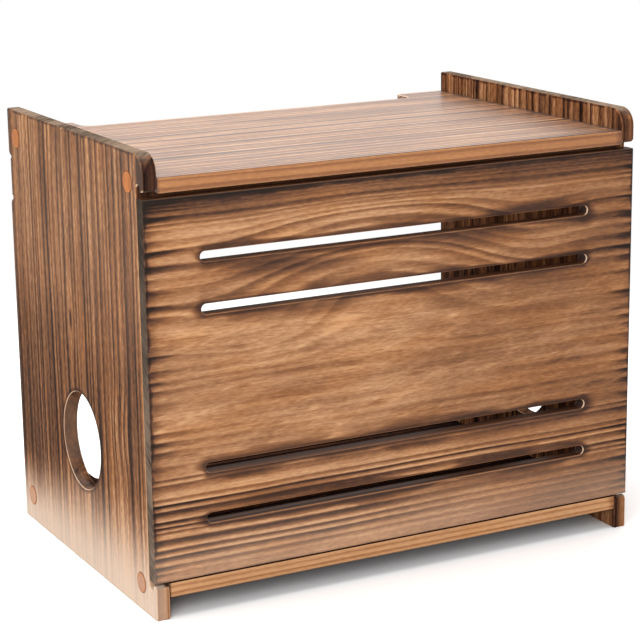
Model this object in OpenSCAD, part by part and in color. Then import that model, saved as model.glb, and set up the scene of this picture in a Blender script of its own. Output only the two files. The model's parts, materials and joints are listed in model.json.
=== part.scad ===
// Router storage box: torched boards, a slotted front panel that pulls off, and an open back.
// The front faces -Y, the width runs along X, and the box stands on Z = 0.

/* [Box] */
// Overall width across the two side boards
box_w = 358; // [280:1:520]
// Overall depth from the front edges to the back edges
box_d = 236; // [170:1:360]
// Overall height from the floor to the top of the side boards
box_h = 295; // [240:1:420]

/* [Side boards] */
// Thickness of each side board
side_t = 10; // [9:0.5:18]
// Radius of the rounded front corner at the top of each side board
ear_r = 12; // [4:0.5:24]
// Radius of the corners where the front notch meets the front edge
tip_r = 3; // [1:0.5:3.5]
// Diameter of the round reliefs in the inner corners of the front notch
relief_d = 6; // [4:0.5:6.5]
// Depth that the reliefs go past the notch into the ear and into the foot
relief_l = 4; // [3.5:0.5:5]
// Diameter of the cable hole in each side board
hole_d = 66; // [30:1:90]
// Height of the cable hole's centre above the floor
hole_z = 87; // [75:1:130]

/* [Shelf boards] */
// Thickness of the top board and of the bottom board
shelf_t = 10; // [8:0.5:18]
// Drop from the top of the side boards to the top board, which makes the tray
tray_d = 14; // [10:0.5:30]
// Height of the feet, from the floor to the bottom board
foot_h = 14; // [9:0.5:40]
// Length of board left at each end of the cable cut-outs
cut_land = 38; // [34:1:70]
// Depth of the cable cut-outs in the back edges
cut_d = 22; // [12:1:40]
// Radius of the inner corners of the cable cut-outs
cut_r = 8; // [2:0.5:12]

/* [Front panel] */
// Thickness of the front panel
panel_t = 10; // [8:0.5:18]
// Open gap between the front panel and the top board
panel_gap = 3; // [1:0.5:8]
// Clearance behind and below the front panel
seat_gap = 0.3; // [0.2:0.05:0.6]
// Spare height of the side notch above and below the panel's opening
notch_spare = 1.2; // [0.5:0.1:3]
// Height of each vent slot
slot_h = 6.5; // [4:0.5:12]
// Distance from the panel's ends to the slot ends
slot_margin = 37; // [20:1:70]
// Distance from the panel's top edge to the nearest slot centre
slot_top = 38.5; // [20:0.5:60]
// Distance from the panel's bottom edge to the nearest slot centre
slot_bottom = 37.5; // [20:0.5:60]
// Distance between the two slot centres of a pair
slot_pitch = 33; // [20:0.5:50]

/* [Panel catches] */
// Diameter of the catch magnets and of the strike discs
magnet_d = 6; // [4:0.5:7]
// Thickness of the catch magnets
magnet_t = 3; // [2:0.5:5]
// Thickness of the strike discs in the panel
strike_t = 2; // [1:0.5:4]
// Distance from the panel's top and bottom edges to the catches
catch_edge = 20; // [12:0.5:60]

/* [Panel stop] */
// Height of the stop batten under the top board, behind the panel's top edge
stop_h = 10; // [9:0.5:12]
// Thickness of the stop batten
stop_t = 8; // [6:0.5:14]
// Distance from the stop's ends to its brads
stop_brad_in = 60; // [20:1:120]

/* [Back slat] */
// Height of the back slat
slat_h = 26; // [16:0.5:40]
// Thickness of the back slat
slat_t = 4; // [3:0.5:6]
// Distance from the top of the side boards to the slat's top edge
slat_drop = 35; // [33:0.5:80]
// Gap above and below the slat in its notches
slat_nick = 2; // [0.5:0.5:4]
// Distance that the slat's ends stop short of the outer faces
slat_inset = 1; // [0.5:0.5:3]
// Radius of the rounded shoulders of the slat notches
shoulder_r = 4; // [1:0.5:4]

/* [Fasteners] */
// Diameter of the wooden plugs over the screws
plug_d = 14; // [10:0.5:16]
// Depth of the plug recesses
plug_t = 3.5; // [2:0.5:4]
// Height that the plugs stand proud of the side boards
plug_proud = 0.4; // [0.1:0.1:1]
// Diameter of the screw shanks
screw_d = 4; // [3:0.5:5]
// Length of the screws under the head
screw_l = 34; // [20:1:36]
// Diameter of the screw heads
head_d = 8; // [6:0.5:9]
// Thickness of the screw heads
head_t = 2.6; // [2:0.1:3]
// Distance from the front edge to the front screws
screw_front = 22; // [18:0.5:40]
// Distance from the back edge to the rear screws
screw_back = 16.5; // [12:0.5:30]
// Diameter of the brads that hold the slat
brad_d = 1.6; // [1:0.1:2.5]
// Length of the brads
brad_l = 16; // [15:0.5:16.5]
// Distance between the two brads in each end of the slat
brad_pitch = 13; // [8:0.5:24]

/* [Hidden] */
$fn = 64;
// Radial clearance round plugs, screws, magnets and brads
fit_gap = 0.1;
// Overrun of a cut past the face that it opens
over = 1;
// Spare depth of a screw or brad hole past the tip
tip_room = 1;
// Share of a shank's length that is its pointed tip
tip_share = 0.15;
// Diameter of a point's blunt end as a share of its shank
point_share = 0.2;
// Width of each arm of a screw's cross recess
cross_w = 0.9;
// Depth of a screw's cross recess
cross_depth = 1.2;
// Span of a screw's cross recess as a share of the head's diameter
cross_share = 0.5;
// Diameter of a brad's head as a multiple of its shank's
brad_head_ratio = 1.8;
// Thickness of a brad's head as a share of its shank's diameter
brad_head_share = 0.6;

front_y = -box_d / 2;
back_y = box_d / 2;
inner_w = box_w - 2 * side_t;
floor_z = foot_h + shelf_t;
lid_top = box_h - tray_d;
lid_under = lid_top - shelf_t;

panel_z0 = floor_z + seat_gap;
panel_z1 = lid_under - panel_gap;
panel_h = panel_z1 - panel_z0;
notch_y = front_y + panel_t + seat_gap;
notch_z0 = floor_z - notch_spare;
notch_z1 = lid_under + notch_spare;

slot_l = box_w - 2 * slot_margin;
slot_zs = [
    panel_z1 - slot_top,
    panel_z1 - slot_top - slot_pitch,
    panel_z0 + slot_bottom + slot_pitch,
    panel_z0 + slot_bottom
];

stop_z = lid_under - stop_h;
stop_mid_y = notch_y + stop_t / 2;

slat_z1 = box_h - slat_drop;
slat_z0 = slat_z1 - slat_h;
slat_mid = (slat_z0 + slat_z1) / 2;
slat_y = back_y - slat_t;

cut_l = inner_w - 2 * cut_land;

plug_fit_d = plug_d - 2 * fit_gap;
cross_l = head_d * cross_share;
brad_head_d = brad_d * brad_head_ratio;
brad_head_t = brad_d * brad_head_share;
brad_fit_d = brad_d + 2 * fit_gap;
brad_head_fit_d = brad_head_d + 2 * fit_gap;

// Centre line of a side board, measured from the middle of the box
side_mid_x = box_w / 2 - side_t / 2;
screw_ys = [front_y + screw_front, back_y - screw_back];
screw_zs = [lid_under + shelf_t / 2, foot_h + shelf_t / 2];
catch_zs = [panel_z1 - catch_edge, panel_z0 + catch_edge];
brad_zs = [slat_mid + brad_pitch / 2, slat_mid - brad_pitch / 2];

SIDES = ["left", "right"];
LEVELS = ["top", "bottom"];
ENDS = ["front", "rear"];

// Places its children on the left as drawn, or mirrored on the right
module on_side(side) {
    if (side == "left") {
        children();
    } else {
        mirror([1, 0, 0]) children();
    }
}

// Waste outside a rounded corner whose square corner is at the origin, in the +X +Y quarter
module corner_waste(r) {
    difference() {
        translate([-over, -over]) square(r + over);
        translate([r, r]) circle(r = r);
    }
}

// Cylinder along +X from the left outer face, starting at a depth below that face
module from_left_face(depth, length, d) {
    translate([-box_w / 2 + depth, 0, 0]) rotate([0, 90, 0]) cylinder(h = length, d = d);
}

// Relief that runs up from the origin, behind the tip of the ear
module notch_relief() {
    translate([-relief_d, -over]) square([relief_d, relief_l - relief_d / 2 + over]);
    translate([-relief_d / 2, relief_l - relief_d / 2]) circle(d = relief_d);
}

// Outline of a side board, with depth along 2D X and height along 2D Y
module side_outline() {
    difference() {
        translate([front_y, 0]) square([box_d, box_h]);
        translate([front_y - over, notch_z0])
            square([notch_y - front_y + over, notch_z1 - notch_z0]);
        translate([notch_y, notch_z1]) notch_relief();
        translate([notch_y, notch_z0]) mirror([0, 1]) notch_relief();
        translate([slat_y, slat_z0 - slat_nick])
            square([slat_t + over, slat_h + 2 * slat_nick]);
        translate([front_y, box_h]) mirror([0, 1]) corner_waste(ear_r);
        translate([front_y, notch_z1]) corner_waste(tip_r);
        translate([front_y, notch_z0]) mirror([0, 1]) corner_waste(tip_r);
        translate([back_y, slat_z1 + slat_nick]) mirror([1, 0]) corner_waste(shoulder_r);
        translate([back_y, slat_z0 - slat_nick])
            mirror([1, 0]) mirror([0, 1]) corner_waste(shoulder_r);
    }
}

// Left side board with its cable hole, screw and plug recesses, magnet pockets and brad holes
module left_board() {
    difference() {
        translate([-box_w / 2, 0, 0])
            rotate([90, 0, 90]) linear_extrude(side_t) side_outline();
        translate([0, 0, hole_z]) from_left_face(-over, side_t + 2 * over, hole_d);
        for (y = screw_ys) for (z = screw_zs) translate([0, y, z]) {
            from_left_face(-over, plug_t + over, plug_d);
            from_left_face(plug_t - over, head_t + over, head_d + 2 * fit_gap);
            from_left_face(plug_t, side_t, screw_d + 2 * fit_gap);
        }
        for (z = catch_zs) translate([-side_mid_x, notch_y - over, z])
            rotate([-90, 0, 0]) cylinder(h = magnet_t + over, d = magnet_d + 2 * fit_gap);
        for (z = brad_zs) translate([-side_mid_x, back_y + over, z])
            rotate([90, 0, 0]) cylinder(h = brad_l + tip_room + over, d = brad_fit_d);
    }
}

module side_board(side) {
    color("saddlebrown") on_side(side) left_board();
}

// Outline of a shelf board seen from above, with the cable cut-out in its back edge
module shelf_outline() {
    difference() {
        translate([-inner_w / 2, front_y]) square([inner_w, box_d]);
        translate([-cut_l / 2, back_y - cut_d + cut_r]) square([cut_l, cut_d - cut_r + over]);
        translate([-cut_l / 2 + cut_r, back_y - cut_d]) square([cut_l - 2 * cut_r, cut_d + over]);
        for (s = [-1, 1]) translate([s * (cut_l / 2 - cut_r), back_y - cut_d + cut_r])
            circle(r = cut_r);
    }
}

// Shelf board at a height, with screw holes in both ends
module shelf_board(z) {
    difference() {
        translate([0, 0, z]) linear_extrude(shelf_t) shelf_outline();
        for (side = SIDES) on_side(side) for (y = screw_ys) translate([0, y, z + shelf_t / 2])
            from_left_face(side_t - over, plug_t + head_t + screw_l - side_t + tip_room + over,
                           screw_d + 2 * fit_gap);
    }
}

// Moves its children to the brad in one end of the panel stop, at the stop's underside
module at_stop_brad(side) {
    on_side(side) translate([-inner_w / 2 + stop_brad_in, stop_mid_y, stop_z]) children();
}

module top_board() {
    color("peru") difference() {
        shelf_board(lid_under);
        for (side = SIDES) at_stop_brad(side) translate([0, 0, stop_h - over])
            cylinder(h = brad_l - stop_h + tip_room + over, d = brad_fit_d);
    }
}

module bottom_board() {
    color("peru") shelf_board(foot_h);
}

// Hole for a brad through a batten, from just outside the face that takes the head
module brad_hole(thickness) {
    cylinder(h = thickness + 2 * over, d = brad_fit_d);
    cylinder(h = brad_head_t + over, d = brad_head_fit_d);
}

// Batten under the top board that the panel's top edge stops against
module panel_stop() {
    color("sienna") difference() {
        translate([-inner_w / 2, notch_y, stop_z]) cube([inner_w, stop_t, stop_h]);
        for (side = SIDES) at_stop_brad(side) translate([0, 0, -over]) brad_hole(stop_h);
    }
}

// One vent slot with round ends, cut through the panel
module vent_slot(z) {
    translate([0, front_y - over, z]) rotate([-90, 0, 0]) {
        translate([-slot_l / 2 + slot_h / 2, -slot_h / 2, 0])
            cube([slot_l - slot_h, slot_h, panel_t + 2 * over]);
        for (s = [-1, 1]) translate([s * (slot_l - slot_h) / 2, 0, 0])
            cylinder(h = panel_t + 2 * over, d = slot_h);
    }
}

module front_panel() {
    color("sienna") difference() {
        translate([-box_w / 2, front_y, panel_z0]) cube([box_w, panel_t, panel_h]);
        for (z = slot_zs) vent_slot(z);
        for (s = [-1, 1]) for (z = catch_zs)
            translate([s * side_mid_x, front_y + panel_t - strike_t, z])
                rotate([-90, 0, 0]) cylinder(h = strike_t + over, d = magnet_d + 2 * fit_gap);
    }
}

module rear_slat() {
    color("dimgray") difference() {
        translate([-box_w / 2 + slat_inset, slat_y, slat_z0])
            cube([box_w - 2 * slat_inset, slat_t, slat_h]);
        for (s = [-1, 1]) for (z = brad_zs) translate([s * side_mid_x, back_y + over, z])
            rotate([90, 0, 0]) brad_hole(slat_t);
    }
}

// Turned wooden plug with a softened rim, seated in its recess
module plug(side, y, z) {
    color("sandybrown") on_side(side) translate([0, y, z]) {
        from_left_face(0, plug_t, plug_fit_d);
        translate([-box_w / 2 - plug_proud, 0, 0]) rotate([0, 90, 0])
            cylinder(h = plug_proud, d1 = plug_fit_d - 2 * plug_proud, d2 = plug_fit_d);
    }
}

// Pan-head wood screw under a plug, with a cross recess and a pointed tip
module screw(side, y, z) {
    color("silver") on_side(side) translate([0, y, z]) difference() {
        union() {
            from_left_face(plug_t, head_t, head_d);
            from_left_face(plug_t, head_t + screw_l * (1 - tip_share), screw_d);
            translate([-box_w / 2 + plug_t + head_t + screw_l * (1 - tip_share), 0, 0])
                rotate([0, 90, 0])
                    cylinder(h = screw_l * tip_share, d1 = screw_d, d2 = screw_d * point_share);
        }
        for (a = [0, 90]) rotate([a, 0, 0])
            translate([-box_w / 2 + plug_t - over, -cross_w / 2, -cross_l / 2])
                cube([cross_depth + over, cross_w, cross_l]);
    }
}

// Disc magnet pressed into the front edge of a side board, behind the panel
module magnet(side, z) {
    color("lightgray") on_side(side) translate([-side_mid_x, notch_y, z])
        rotate([-90, 0, 0]) cylinder(h = magnet_t, d = magnet_d);
}

// Steel strike disc let into the back of the front panel
module strike(side, z) {
    color("gainsboro") on_side(side) translate([-side_mid_x, front_y + panel_t - strike_t, z])
        rotate([-90, 0, 0]) cylinder(h = strike_t, d = magnet_d);
}

// Brad with its head at the origin and its point up
module brad() {
    cylinder(h = brad_head_t, d = brad_head_d);
    cylinder(h = brad_l * (1 - tip_share), d = brad_d);
    translate([0, 0, brad_l * (1 - tip_share)])
        cylinder(h = brad_l * tip_share, d1 = brad_d, d2 = brad_d * point_share);
}

// Brad through the slat into the back edge of a side board
module slat_brad(side, z) {
    color("gray") on_side(side) translate([-side_mid_x, back_y, z]) rotate([90, 0, 0]) brad();
}

// Brad through the panel stop into the top board
module stop_brad(side) {
    color("gray") at_stop_brad(side) brad();
}

side_board("left");  // left_side
side_board("right");  // right_side
top_board();
bottom_board();
front_panel();
panel_stop();
rear_slat();
for (side = SIDES) for (l = [0, 1]) {
    for (e = [0, 1]) {
        plug(side, screw_ys[e], screw_zs[l]);
        screw(side, screw_ys[e], screw_zs[l]);
    }
    magnet(side, catch_zs[l]);
    strike(side, catch_zs[l]);
    slat_brad(side, brad_zs[l]);
}
for (side = SIDES) {
    stop_brad(side);
}
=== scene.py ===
"""Router storage box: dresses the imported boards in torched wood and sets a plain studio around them."""
import functools
import json
import math
from dataclasses import dataclass

import bpy
from mathutils import Matrix, Vector


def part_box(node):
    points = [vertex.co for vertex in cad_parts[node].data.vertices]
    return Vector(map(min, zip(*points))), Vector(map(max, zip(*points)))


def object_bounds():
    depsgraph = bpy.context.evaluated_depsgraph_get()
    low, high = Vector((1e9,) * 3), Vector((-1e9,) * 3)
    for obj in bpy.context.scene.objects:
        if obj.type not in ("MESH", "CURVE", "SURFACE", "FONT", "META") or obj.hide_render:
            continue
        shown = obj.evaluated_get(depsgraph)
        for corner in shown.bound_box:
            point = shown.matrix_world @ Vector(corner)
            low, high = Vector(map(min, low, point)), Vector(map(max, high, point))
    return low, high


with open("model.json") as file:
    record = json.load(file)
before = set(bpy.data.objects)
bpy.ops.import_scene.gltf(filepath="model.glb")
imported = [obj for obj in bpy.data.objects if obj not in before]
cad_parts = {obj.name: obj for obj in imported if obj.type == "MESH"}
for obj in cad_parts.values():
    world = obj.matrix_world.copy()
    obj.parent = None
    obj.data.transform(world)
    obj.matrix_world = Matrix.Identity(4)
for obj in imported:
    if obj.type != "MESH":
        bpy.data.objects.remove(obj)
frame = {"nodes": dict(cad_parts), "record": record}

bl_info = {
    "name": "Router Storage Box",
    "version": (1, 0, 0),
    "blender": (4, 5, 0),
    "location": "View3D > Sidebar > Router Box",
    "description": "Eases the edges of a router box and finishes its boards in torched wood",
    "category": "Object",
}

NODES = frame["nodes"]
CAD_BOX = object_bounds()
# Millimetres in a metre: the wood textures work in millimetres
MM = 1000.0
# A span in millimetres that reaches past every board
FAR = 1000.0
ZERO = (0.0, 0.0, 0.0)
WHITE = (1.0, 1.0, 1.0, 1.0)

# The two cable holes lie on one axis, so the first stands for both
HOLE = next(mount for mount in frame["record"]["mounts"] if mount["kind"] == "bore")
HOLE_PLACE, HOLE_RADIUS = HOLE["pos_m"], HOLE["dims"]["r_mm"]

SIDE_BOARDS = ("left_side", "right_side")
TOP_BOARD, BOTTOM_BOARD, STOP = "top_board", "bottom_board", "panel_stop"
PANEL = "front_panel"
SLAT = "rear_slat"


def nodes_ending(suffix):
    """Names of the frame's nodes that end in a suffix, in a fixed order."""
    return sorted(name for name in NODES if name.endswith(suffix))


PLUGS = nodes_ending("_plug")
STEEL = nodes_ending("_screw") + nodes_ending("_brad")
MAGNETS = nodes_ending("_magnet")
STRIKES = nodes_ending("_strike")
FASTENERS = PLUGS + STEEL + MAGNETS + STRIKES

# Turns that lay a texture's X along a board's grain, Y across it and Z through its thickness
GRAIN_UPRIGHT = (0.0, math.radians(90.0), 0.0)
GRAIN_ACROSS_FRONT = (math.radians(-90.0), 0.0, 0.0)
GRAIN_ALONG_WIDTH = (0.0, 0.0, 0.0)

# Directions through the thickness of the upright, the front and the level boards
THROUGH_SIDE, THROUGH_FRONT, THROUGH_LEVEL = (1.0, 0.0, 0.0), (0.0, 1.0, 0.0), (0.0, 0.0, 1.0)


def tone(red, green, blue):
    """Linear colour of a screen tone given in bytes."""
    def linear(byte):
        share = byte / 255.0
        return share / 12.92 if share <= 0.04045 else ((share + 0.055) / 1.055) ** 2.4
    return (linear(red), linear(green), linear(blue))


class ROUTERBOX_EdgeSettings(bpy.types.PropertyGroup):
    """How far the boards' edges are rounded over."""

    side_ease: bpy.props.FloatProperty(
        name="Side Edges", description="Roundover on the edges of the side boards",
        default=0.0014, min=0.0002, max=0.003, unit="LENGTH")
    board_ease: bpy.props.FloatProperty(
        name="Board Edges", description="Roundover on the shelf boards and the front panel",
        default=0.0012, min=0.0002, max=0.002, unit="LENGTH")
    slat_ease: bpy.props.FloatProperty(
        name="Slat Edges", description="Roundover on the back slat",
        default=0.0007, min=0.0002, max=0.0015, unit="LENGTH")
    rim_gap: bpy.props.FloatProperty(
        name="Crisp Rims", description="Edges nearer to a fastener than this stay crisp",
        default=0.0004, min=0.0001, max=0.001, unit="LENGTH")


def tone_setting(name, description, *shade):
    """Colour setting that starts at a screen tone given in bytes."""
    return bpy.props.FloatVectorProperty(
        name=name, description=description, subtype="COLOR", default=tone(*shade), min=0.0, max=1.0)


class ROUTERBOX_PaletteSettings(bpy.types.PropertyGroup):
    """Tones of the torched wood, from burnt to pale, and of the hardware."""

    char: tone_setting("Char", "Burnt edges and the rims of the slots", 30, 22, 20)
    dark: tone_setting("Dark Grain", "Deepest torched lines", 72, 47, 37)
    brown: tone_setting("Brown Grain", "Flanks of the torched lines", 116, 77, 53)
    toast: tone_setting("Toast", "Warm brown between the lines", 147, 100, 67)
    gold: tone_setting("Gold", "Broad calm wood", 178, 129, 91)
    pale: tone_setting("Pale", "Lightest wood", 212, 163, 121)
    # Cream is mostly painted light: the floor's reflection low on the box, sheen, and highlights on rims
    cream: tone_setting("Cream", "Wood that the torch hardly touched, low on the box", 232, 212, 194)
    end_grain: tone_setting("End Grain", "Sawn ends of the boards", 142, 121, 103)
    plug: tone_setting("Plugs", "Plain wood of the plugs", 184, 112, 60)
    steel: tone_setting("Steel", "Screws, brads and strike discs", 176, 174, 168)
    nickel: tone_setting("Nickel", "Plating of the magnets", 214, 210, 200)


class ROUTERBOX_StageSettings(bpy.types.PropertyGroup):
    """Camera, lamps and floor."""

    camera_place: bpy.props.FloatVectorProperty(
        name="Camera Place", description="Where the camera stands",
        subtype="TRANSLATION", unit="LENGTH", default=(-0.65247, -1.25189, 0.49871))
    heading: bpy.props.FloatProperty(
        name="Heading", description="Turn of the camera towards the right side of the box",
        subtype="ANGLE", default=math.radians(27.559))
    tilt: bpy.props.FloatProperty(
        name="Tilt", description="How far the camera looks down",
        subtype="ANGLE", default=math.radians(14.004))
    roll: bpy.props.FloatProperty(
        name="Roll", description="Turn of the camera about its own line of sight",
        subtype="ANGLE", default=math.radians(-0.792))
    lens: bpy.props.FloatProperty(
        name="Lens", description="Focal length in millimetres on a 36 mm sensor",
        default=117.565, min=20.0, max=300.0)
    floor_tone: bpy.props.FloatVectorProperty(
        name="Floor", description="Colour of the floor",
        subtype="COLOR", default=(0.9, 0.9, 0.9), min=0.0, max=1.0)
    floor_lift: bpy.props.FloatProperty(
        name="Floor Lift", description="Brightness of the floor to the camera, where the box's shadow falls",
        default=1.3, min=0.5, max=3.0)
    floor_span: bpy.props.FloatProperty(
        name="Floor Span", description="Width of the floor",
        default=12.0, min=2.0, max=40.0, unit="LENGTH")
    sky_light: bpy.props.FloatProperty(
        name="Room Light", description="Strength of the light from all round",
        default=0.55, min=0.0, max=2.0)
    key_power: bpy.props.FloatProperty(
        name="Key Lamp", description="Power of the large lamp overhead",
        default=28.0, min=0.0, max=200.0, unit="POWER")
    fill_power: bpy.props.FloatProperty(
        name="Fill Lamp", description="Power of the lamp at the front left",
        default=16.0, min=0.0, max=200.0, unit="POWER")


class ROUTERBOX_Settings(bpy.types.PropertyGroup):
    """All the settings of the box, kept on the scene."""

    edges: bpy.props.PointerProperty(type=ROUTERBOX_EdgeSettings)
    palette: bpy.props.PointerProperty(type=ROUTERBOX_PaletteSettings)
    stage: bpy.props.PointerProperty(type=ROUTERBOX_StageSettings)


class NodeBench:
    """A node tree with short calls that add nodes and wire them."""

    # Spacing of the nodes in the editor
    COLUMN = 190.0

    def __init__(self, tree):
        self.tree = tree

    def add(self, kind, feeds=None, **settings):
        """New node with its settings, and its inputs fed with sockets or plain values."""
        node = self.tree.nodes.new(kind)
        node.location = (self.COLUMN * len(self.tree.nodes), 0.0)
        for name, value in settings.items():
            setattr(node, name, value)
        for key, value in (feeds or {}).items():
            self.feed(node.inputs[key], value)
        return node

    def feed(self, socket, value):
        """Wires a socket to another, or sets its own value."""
        if isinstance(value, bpy.types.NodeSocket):
            self.tree.links.new(value, socket)
        else:
            socket.default_value = value

    def group(self, tree, **feeds):
        """A placed group; the words of a feed's name are parted by underscores."""
        named = {key.replace("_", " "): value for key, value in feeds.items()}
        return self.add("ShaderNodeGroup", named, node_tree=tree).outputs

    def total(self, *parts):
        """Sum of several values."""
        return functools.reduce(lambda first, second: self.math("ADD", first, second), parts)

    def product(self, *parts):
        """Product of several values."""
        return functools.reduce(lambda first, second: self.math("MULTIPLY", first, second), parts)

    def weighed(self, base, *shares):
        """A base plus several values, each times its own amount."""
        return self.total(base, *(self.product(value, amount) for value, amount in shares))

    def minus(self, first, second):
        """First less second."""
        return self.math("SUBTRACT", first, second)

    def size(self, value):
        """A value without its sign."""
        return self.math("ABSOLUTE", value)

    def largest(self, *parts):
        """Largest of several values."""
        return functools.reduce(lambda first, second: self.math("MAXIMUM", first, second), parts)

    def rest(self, share):
        """What a share leaves of 1."""
        return self.minus(1.0, share)

    def swing(self, value, amount, around=0.5):
        """A value's departure from its middle, times an amount."""
        return self.math("MULTIPLY", self.minus(value, around), amount)

    def blend(self, share, first, second):
        """First where share is 0, second where it is 1."""
        return self.add("ShaderNodeMix", {0: share, 2: first, 3: second}).outputs[0]

    def tint(self, share, first, second, how="MIX"):
        """Mix of two colours."""
        feeds = {0: share, 6: first, 7: second}
        return self.add("ShaderNodeMix", feeds, data_type="RGBA", blend_type=how).outputs[2]

    def math(self, operation, first, second=0.0, third=0.0):
        """One step of arithmetic."""
        feeds = dict(enumerate((first, second, third)))
        return self.add("ShaderNodeMath", feeds, operation=operation).outputs[0]

    def vector(self, operation, first, second=ZERO):
        """One step of vector arithmetic."""
        feeds = {0: first, 1: second}
        return self.add("ShaderNodeVectorMath", feeds, operation=operation).outputs[0]

    def scaled(self, vector, amount):
        """A vector or a colour times a number."""
        return self.add("ShaderNodeVectorMath", {0: vector, "Scale": amount}, operation="SCALE").outputs[0]

    def length(self, vector):
        """Length of a vector."""
        return self.add("ShaderNodeVectorMath", {0: vector}, operation="LENGTH").outputs["Value"]

    def dot(self, first, second):
        """Dot product of two vectors."""
        feeds = {0: first, 1: second}
        return self.add("ShaderNodeVectorMath", feeds, operation="DOT_PRODUCT").outputs["Value"]

    def split(self, vector):
        """The three parts of a vector."""
        return self.add("ShaderNodeSeparateXYZ", {0: vector}).outputs

    def joined(self, *parts):
        """A vector of up to three parts."""
        return self.add("ShaderNodeCombineXYZ", dict(enumerate(parts))).outputs[0]

    def laid(self, place, turn):
        """A place in metres as millimetres along, across and through a board's grain."""
        feeds = {"Vector": place, "Rotation": turn, "Scale": (MM, MM, MM)}
        return self.add("ShaderNodeMapping", feeds).outputs[0]

    def bump(self, height, strength, distance):
        """Normal of a surface that rises and falls with a height."""
        feeds = {"Height": height, "Strength": strength, "Distance": distance}
        return self.add("ShaderNodeBump", feeds).outputs[0]

    def ease(self, value, start, end, low=0.0, high=1.0):
        """Smooth step: low at start, high at end."""
        feeds = {"Value": value, "From Min": start, "From Max": end, "To Min": low, "To Max": high}
        return self.add("ShaderNodeMapRange", feeds, interpolation_type="SMOOTHSTEP").outputs[0]

    def between(self, value, low, high, soft):
        """1 between two levels and 0 outside them, with soft sides."""
        return self.product(self.ease(value, low - soft, low + soft),
                            self.ease(value, high - soft, high + soft, 1.0, 0.0))

    def noise(self, vector, sizes, seed, detail=2.0):
        """Noise between 0 and 1 whose features have the given sizes along, across and through."""
        scale = tuple(1.0 / size for size in sizes)
        spread = self.vector("MULTIPLY", vector, scale)
        feeds = {"Vector": spread, "W": seed, "Scale": 1.0, "Detail": detail, "Roughness": 0.55}
        return self.add("ShaderNodeTexNoise", feeds, noise_dimensions="4D").outputs[0]


def shared_group(name):
    """Builds a node group under one name at its first use, and hands out that group from then on."""
    def keep(build):
        @functools.wraps(build)
        def fetch():
            return bpy.data.node_groups.get(name) or build(name)
        return fetch
    return keep


def shader_group(name, inputs, outputs):
    """Empty shader group with named sockets: its tree, its bench and its input sockets."""
    tree = bpy.data.node_groups.new(name, "ShaderNodeTree")
    for label, default in inputs.items():
        kind = "NodeSocketVector" if isinstance(default, tuple) else "NodeSocketFloat"
        socket = tree.interface.new_socket(label, in_out="INPUT", socket_type=kind)
        socket.default_value = default
    for label in outputs:
        tree.interface.new_socket(label, in_out="OUTPUT", socket_type="NodeSocketFloat")
    bench = NodeBench(tree)
    return tree, bench, bench.add("NodeGroupInput").outputs


@shared_group("Growth Rings")
def growth_rings(name):
    """Dark late growth in wandering lines along the grain, each ring with its own depth."""
    tree, bench, given = shader_group(
        name,
        {"Vector": ZERO, "Spacing": 8.0, "Slant": 0.6, "Wander": 4.0, "Lift": 0.0, "Crowd": 0.0, "Seed": 0.0},
        ("Rings", "Depth"))
    # Share of the quick sway, pace and depth of uneven rings, and parts of a ring where it darkens and ends
    quick_share = 0.22
    uneven_pace, uneven_depth = 0.43, 1.5
    darkening, ending = (0.06, 0.76), (0.80, 1.0)
    along, across, through = bench.split(given["Vector"])
    leaning = bench.math("MULTIPLY_ADD", through, given["Slant"], across)
    level = bench.minus(leaning, given["Lift"])
    place = bench.joined(along, level, through)
    slow = bench.noise(place, (190.0, 34.0, 60.0), given["Seed"], detail=1.0)
    quick = bench.noise(place, (48.0, 9.0, 20.0), given["Seed"], detail=1.0)
    sway = bench.math("MULTIPLY_ADD", quick, quick_share, slow)
    swayed = bench.total(bench.swing(sway, given["Wander"], around=0.5 * (1.0 + quick_share)), level)
    count = bench.total(bench.math("DIVIDE", swayed, given["Spacing"]), given["Crowd"])
    uneven = bench.add("ShaderNodeTexNoise", {"W": count, "Scale": uneven_pace, "Detail": 0.0},
                       noise_dimensions="1D").outputs[0]
    count = bench.math("MULTIPLY_ADD", uneven, uneven_depth, count)
    share = bench.math("FRACT", count)
    late = bench.product(bench.ease(share, *darkening), bench.ease(share, *ending, 1.0, 0.0))
    number = bench.math("ADD", bench.math("FLOOR", count), given["Seed"])
    depth = bench.add("ShaderNodeTexWhiteNoise", {"W": number}, noise_dimensions="1D").outputs["Value"]
    bench.add("NodeGroupOutput", {"Rings": late, "Depth": depth})
    return tree


# Sizes of each kind of fibre along, across and through the grain in millimetres, and its detail
FIBRES = {
    "Bands": ((520.0, 10.0, 14.0), 3.0), "Streak": ((150.0, 6.0, 7.0), 4.0),
    "Cloud": ((90.0, 38.0, 60.0), 3.0), "Lines": ((120.0, 1.7, 2.4), 3.0),
    "Fine": ((5.0, 0.9, 1.1), 2.0), "Flecks": ((22.0, 2.2, 3.0), 2.0)}
# Noise at which a fleck starts to show, and at which it shows in full
FLECK_START = (0.63, 0.76)
# Sizes in millimetres of the patches that the torch turned to orange, and the noise over which they set in
WARM_PATCH, WARM_START = (70.0, 16.0, 24.0), (0.42, 0.66)


@shared_group("Wood Fibre")
def wood_fibre(name):
    """Bands that run the board's length, streaks, clouds, lines, speckle, dark flecks and warm patches."""
    tree, bench, given = shader_group(name, {"Vector": ZERO, "Seed": 0.0}, (*FIBRES, "Warmth"))
    fibres = {kind: bench.noise(given["Vector"], sizes, given["Seed"], detail)
              for kind, (sizes, detail) in FIBRES.items()}
    fibres["Flecks"] = bench.ease(fibres["Flecks"], *FLECK_START)
    # A seed of their own keeps the patches unlike the other fibre
    patches = bench.noise(given["Vector"], WARM_PATCH, bench.total(given["Seed"], 3.0))
    fibres["Warmth"] = bench.ease(patches, *WARM_START)
    bench.add("NodeGroupOutput", fibres)
    return tree


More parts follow.
